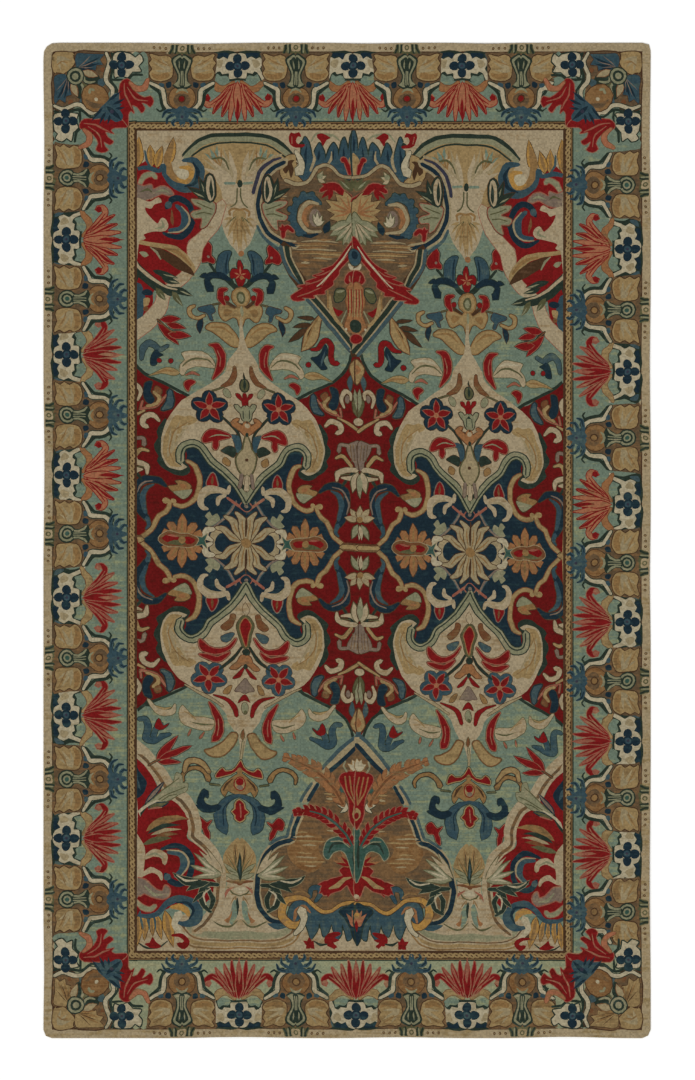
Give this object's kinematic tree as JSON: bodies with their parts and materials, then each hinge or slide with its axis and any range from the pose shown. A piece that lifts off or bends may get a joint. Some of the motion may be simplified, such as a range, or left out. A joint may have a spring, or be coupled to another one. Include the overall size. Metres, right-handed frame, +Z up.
{
  "type": "needlepoint rug",
  "caption": "Flat rectangular wool needlepoint rug with rounded corners, a turned-under hem, a scalloped border, a chain guard stripe and a strapwork and acanthus field.",
  "frame": {"origin": "on the underside, at the middle of the rug", "axes": "+Z up, the side with the pattern; +Y along the long sides, towards the end with the pointed brown cartouche's top; +X to the right"},
  "size_m": [1.83, 3, 0.0072],
  "materials": {
    "wool_needlework": "matt dyed wool stitches on canvas"
  },
  "bodies": {
    "root": {"needlepoint_rug": "wool_needlework"}
  },
  "joints": []
}
